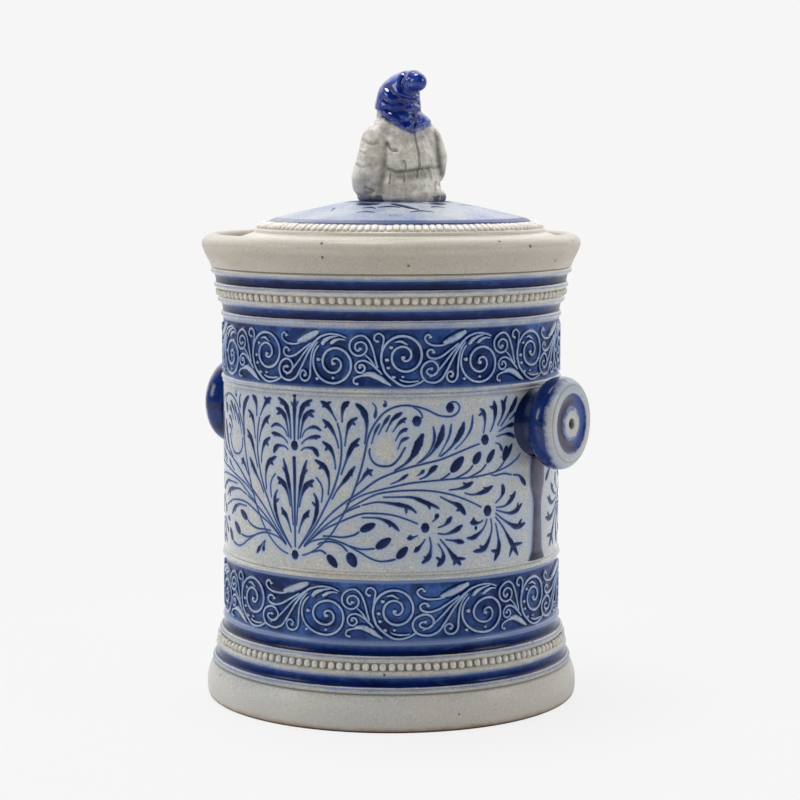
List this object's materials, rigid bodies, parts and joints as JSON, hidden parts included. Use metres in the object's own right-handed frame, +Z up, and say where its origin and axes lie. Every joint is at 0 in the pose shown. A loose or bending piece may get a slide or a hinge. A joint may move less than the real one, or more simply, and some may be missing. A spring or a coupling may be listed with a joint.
{
  "type": "tobacco jar",
  "caption": "Cylindrical salt-glazed stoneware tobacco jar with spool handles, cobalt relief bands and a loose gallery lid with a seated hooded figure as its knob.",
  "frame": {"origin": "on the jar's axis, in the plane of its standing ring", "axes": "+Z up along the jar's axis, X through the two handles, -Y through the middle of the decorated panel"},
  "size_m": [0.1388, 0.1268, 0.21],
  "materials": {
    "grey_stoneware": "satin",
    "cream_stoneware": "satin",
    "cobalt_glaze": "gloss"
  },
  "bodies": {
    "jar": {"jar_body": "grey_stoneware", "right_handle_neck": "cobalt_glaze", "right_handle_disc": "grey_stoneware", "left_handle_neck": "cobalt_glaze", "left_handle_disc": "grey_stoneware"},
    "lid": {"lid": "cream_stoneware", "figure_body": "cream_stoneware", "figure_head": "cobalt_glaze"}
  },
  "joints": [
    {"name": "lid_lift", "type": "slide", "parent": "jar", "child": "lid", "axis": [0, 0, 1], "range_m": [0, 0.08]}
  ]
}
